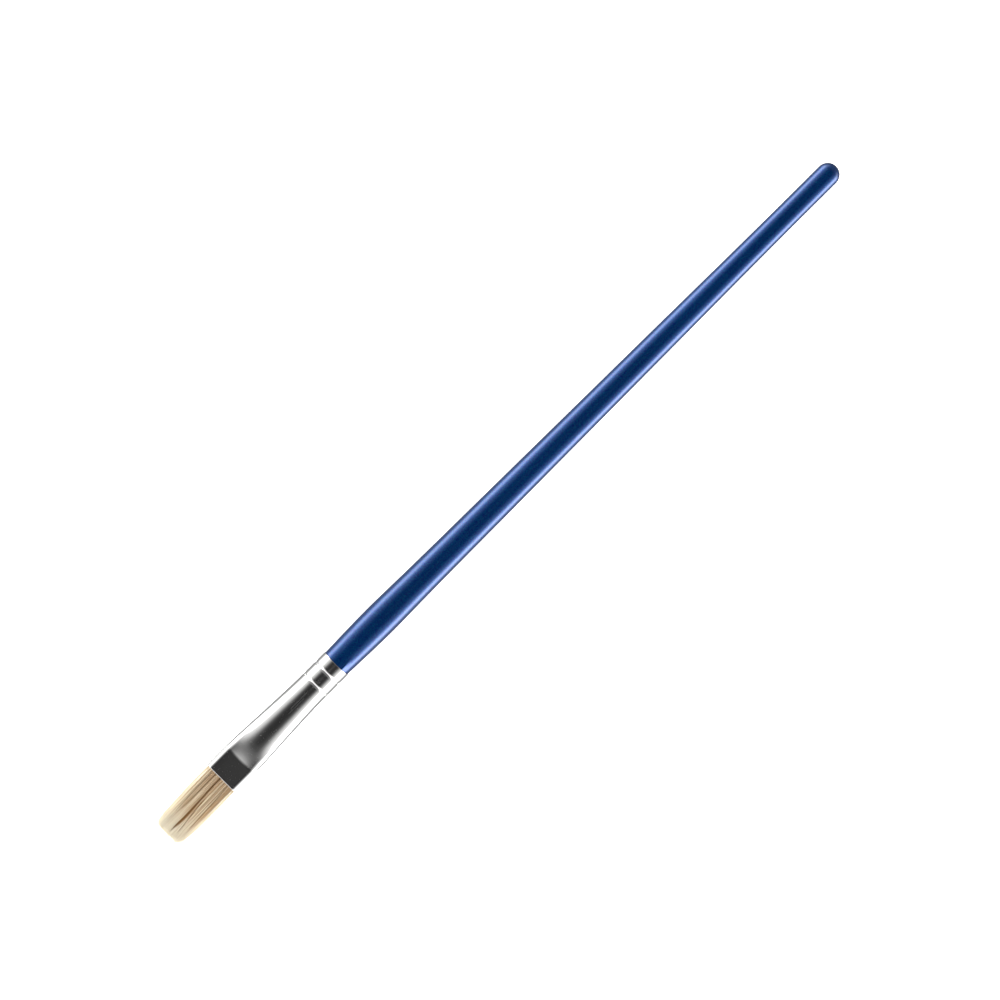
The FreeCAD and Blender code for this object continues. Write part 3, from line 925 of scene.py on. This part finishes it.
# %% Table
table_mesh = bpy.data.meshes.new("table")
reach = 3.0
table_corners = [(-reach, -reach, 0), (reach, -reach, 0), (reach, reach, 0), (-reach, reach, 0)]
table_mesh.from_pydata(table_corners, [], [(0, 1, 2, 3)])
table = bpy.data.objects.new("table", table_mesh)
bpy.context.collection.objects.link(table)
table.location.z = -0.00003
pale_table = Finish("pale table")
paper = pale_table.noise(30.0, detail=3.0)
pale_table.use(base=pale_table.mix(paper, (0.92, 0.92, 0.92, 1), (0.95, 0.95, 0.95, 1)), rough=0.8)
pale_table.surface.inputs["Emission Color"].default_value = (1, 1, 1, 1)
pale_table.surface.inputs["Emission Strength"].default_value = 1.0
dress(table, pale_table.material)
table.visible_glossy = False
print("table", 2 * reach, "m across")

# %% [markdown]
# ## The light tent
#
# A glossy round thing shows the room as bands along its length, so the room is designed first. Here it is
# a white tent that is darkest overhead, where it has its opening, and brightens towards the sides. Two
# long soft strips beside the brush, at the height of the horizon, draw the bright bands along the
# lacquer, and all of it is dimmer beyond the handle's end. The world's colour holds the whole tent:
# brightness by height, mixed with direction. A wide silk overhead then lights the hairs, and doesn't show
# in the metal.

# %% Light tent
world = bpy.data.worlds.new("light tent")
bpy.context.scene.world = world
world.use_nodes = True
sky = world.node_tree
direction = sky.nodes.new("ShaderNodeTexCoord").outputs["Generated"]


def sky_node(kind, *inputs, output=0, **settings):
    """A node of the world, its inputs set or linked in order; gives one of its outputs."""
    made = sky.nodes.new(kind)
    for key, value in settings.items():
        setattr(made, key, value)
    for socket, value in zip(made.inputs, inputs):
        if isinstance(value, bpy.types.NodeSocket):
            sky.links.new(value, socket)
        else:
            socket.default_value = value
    return made.outputs[output]


def sky_ramp(height, stops, top):
    """Brightness over top, by height from -1 (straight down) to 1 (straight up)."""
    ramp = sky.nodes.new("ShaderNodeValToRGB")
    place = sky_node("ShaderNodeMapRange", height, -1.0, 1.0, 0.0, 1.0)
    sky.links.new(place, ramp.inputs[0])
    while len(ramp.color_ramp.elements) < len(stops):
        ramp.color_ramp.elements.new(0.5)
    for element, (position, brightness) in zip(ramp.color_ramp.elements, stops):
        element.position = (position + 1) / 2
        element.color = (brightness / top,) * 3 + (1,)
    return ramp.outputs[0]


# height, brightness
tent_stops = (
    (-1.0, 0.30), (-0.70, 0.34), (-0.60, 0.50), (-0.50, 0.62), (-0.40, 0.85),
    (0.30, 1.1), (0.476, 0.92), (0.584, 0.74), (0.691, 0.50), (0.777, 0.24),
    (0.852, 0.085), (0.91, 0.042), (0.954, 0.028), (0.982, 0.045), (1.0, 0.095),
)
strip_stops = (
    (-0.42, 0.0), (-0.34, 1.2), (-0.25, 3.0), (-0.15, 4.5), (0.0, 6.2), (0.10, 5.4),
    (0.17, 4.0), (0.25, 2.6), (0.342, 1.25), (0.42, 0.45), (0.50, 0.0),
)
brightest = 8.0
opening = (0.07, -0.064, 0.996)
height = sky_node("ShaderNodeVectorMath", direction, opening, output="Value", operation="DOT_PRODUCT")
tent = sky_ramp(height, tent_stops, brightest)
sideways = sky_node("ShaderNodeSeparateXYZ", direction, output="Y")
reach_side = sky_node("ShaderNodeMath", sideways, operation="ABSOLUTE")
beside = sky_node("ShaderNodeMapRange", reach_side, 0.35, 0.75, 0.0, 1.0, interpolation_type="SMOOTHSTEP")
uneven = sky_node("ShaderNodeMath", sideways, -0.18, 1.0, operation="MULTIPLY_ADD")
strips = sky_node("ShaderNodeMath", sky_ramp(height, strip_stops, brightest), beside, operation="MULTIPLY")
strips = sky_node("ShaderNodeMath", strips, uneven, operation="MULTIPLY")
total = sky_node("ShaderNodeMath", tent, strips, operation="ADD")
endways = sky_node("ShaderNodeSeparateXYZ", direction, output="X")
open_end = sky_node("ShaderNodeMapRange", endways, 0.25, 0.75, 1.0, 0.3, interpolation_type="SMOOTHSTEP")
total = sky_node("ShaderNodeMath", total, open_end, operation="MULTIPLY")
sky.links.new(total, sky.nodes["Background"].inputs["Color"])
sky.nodes["Background"].inputs["Strength"].default_value = brightest

overhead_data = bpy.data.lights.new("overhead silk", "AREA")
overhead_data.size = 1.5
overhead_data.energy = 11.0
overhead = bpy.data.objects.new("overhead silk", overhead_data)
bpy.context.collection.objects.link(overhead)
overhead.location = (0.0, 0.0, 1.2)
overhead.visible_glossy = False
bpy.context.scene.view_settings.view_transform = "Standard"
print("the tent has", len(tent_stops), "heights and its strips have", len(strip_stops))
